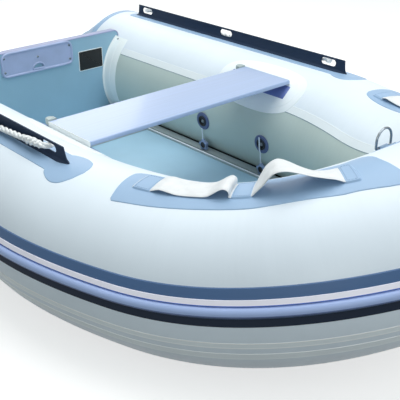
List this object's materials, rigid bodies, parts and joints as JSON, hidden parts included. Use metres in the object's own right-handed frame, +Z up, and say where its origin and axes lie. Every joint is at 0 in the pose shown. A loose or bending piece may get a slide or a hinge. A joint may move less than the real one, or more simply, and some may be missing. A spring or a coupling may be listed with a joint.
{
  "type": "inflatable dinghy",
  "caption": "Open inflatable dinghy: two air tubes joined at a raised bow, hard transom with motor pads, boarded floor, sliding bench seat, grab lines and webbing handles.",
  "frame": {"origin": "under the middle of the boat's length and beam, at the lowest line of the air tubes", "axes": "+X towards the bow, +Y to port, +Z up"},
  "size_m": [2.3692, 1.4586, 0.548],
  "materials": {
    "hull_fabric_white": "satin coated fabric",
    "hull_fabric_blue_grey": "satin coated fabric",
    "bottom_fabric": "satin coated fabric",
    "strake_rubber_navy": "satin",
    "strake_stripe": "satin",
    "strake_bead": "satin",
    "rail_rubber_navy": "satin",
    "transom_paint": "satin paint",
    "transom_edge": "satin",
    "bonding_strip": "satin coated fabric",
    "pad_plastic": "matte",
    "black_plastic": "satin",
    "floor_board": "satin coating",
    "aluminium": "anodised",
    "seat_paint": "gloss paint",
    "seat_end_plastic": "satin",
    "rope_white": "braided",
    "webbing_white": "woven",
    "stainless_steel": "polished",
    "valve_plastic": "satin",
    "cap_plastic": "satin"
  },
  "bodies": {
    "hull": {"air_tube_port": "hull_fabric_white", "air_tube_starboard": "hull_fabric_white", "blank_plate": "black_plastic", "bow_ring_keeper": "hull_fabric_blue_grey", "bow_ring_pad": "hull_fabric_blue_grey", "drain_fitting": "black_plastic", "floor_board_aft": "floor_board", "floor_board_fore": "floor_board", "floor_board_middle": "floor_board", "floor_joiner_aft": "aluminium", "floor_joiner_fore": "aluminium", "floor_stringer_port": "aluminium", "floor_stringer_starboard": "aluminium", "handle_patch_port": "hull_fabric_blue_grey", "handle_patch_starboard": "hull_fabric_blue_grey", "handle_strap_port": "webbing_white", "handle_strap_starboard": "webbing_white", "hull_skin": "bottom_fabric", "life_line_port": "rope_white", "life_line_starboard": "rope_white", "motor_pad_inner": "pad_plastic", "motor_pad_outer": "pad_plastic", "rail_pad_port": "hull_fabric_blue_grey", "rail_pad_starboard": "hull_fabric_blue_grey", "rope_rail_port": "rail_rubber_navy", "rope_rail_starboard": "rail_rubber_navy", "seat_flap_port": "strake_rubber_navy", "seat_flap_starboard": "strake_rubber_navy", "seat_pad_port": "hull_fabric_white", "seat_pad_starboard": "hull_fabric_white", "stern_cone_port": "hull_fabric_blue_grey", "stern_cone_starboard": "hull_fabric_blue_grey", "strake_band": "strake_rubber_navy", "strake_bead": "strake_bead", "strake_stripe": "strake_stripe", "transom_board": "transom_paint", "transom_strip_aft_port": "bonding_strip", "transom_strip_aft_starboard": "bonding_strip", "transom_strip_fore_port": "bonding_strip", "transom_strip_fore_starboard": "bonding_strip", "transom_trim": "transom_edge", "valve_aft_port": "valve_plastic", "valve_aft_starboard": "valve_plastic", "valve_cap_aft_port": "cap_plastic", "valve_cap_aft_starboard": "cap_plastic", "valve_cap_fore_port": "cap_plastic", "valve_cap_fore_starboard": "cap_plastic", "valve_fore_port": "valve_plastic", "valve_fore_starboard": "valve_plastic"},
    "seat": {"seat_board": "seat_paint", "seat_end_port": "seat_end_plastic", "seat_end_starboard": "seat_end_plastic", "seat_tab_port": "seat_end_plastic", "seat_tab_starboard": "seat_end_plastic"},
    "ring": {"bow_ring": "stainless_steel"}
  },
  "joints": [
    {"name": "seat_slide", "type": "slide", "parent": "hull", "child": "seat", "axis": [1, 0, 0], "range_m": [-0.03, 0.03]},
    {"name": "bow_ring_swing", "type": "hinge", "parent": "hull", "child": "ring", "pos_m": [0.793, 0, 0.4792], "axis": [0, 1, 0], "range_deg": [-130, 40]}
  ]
}
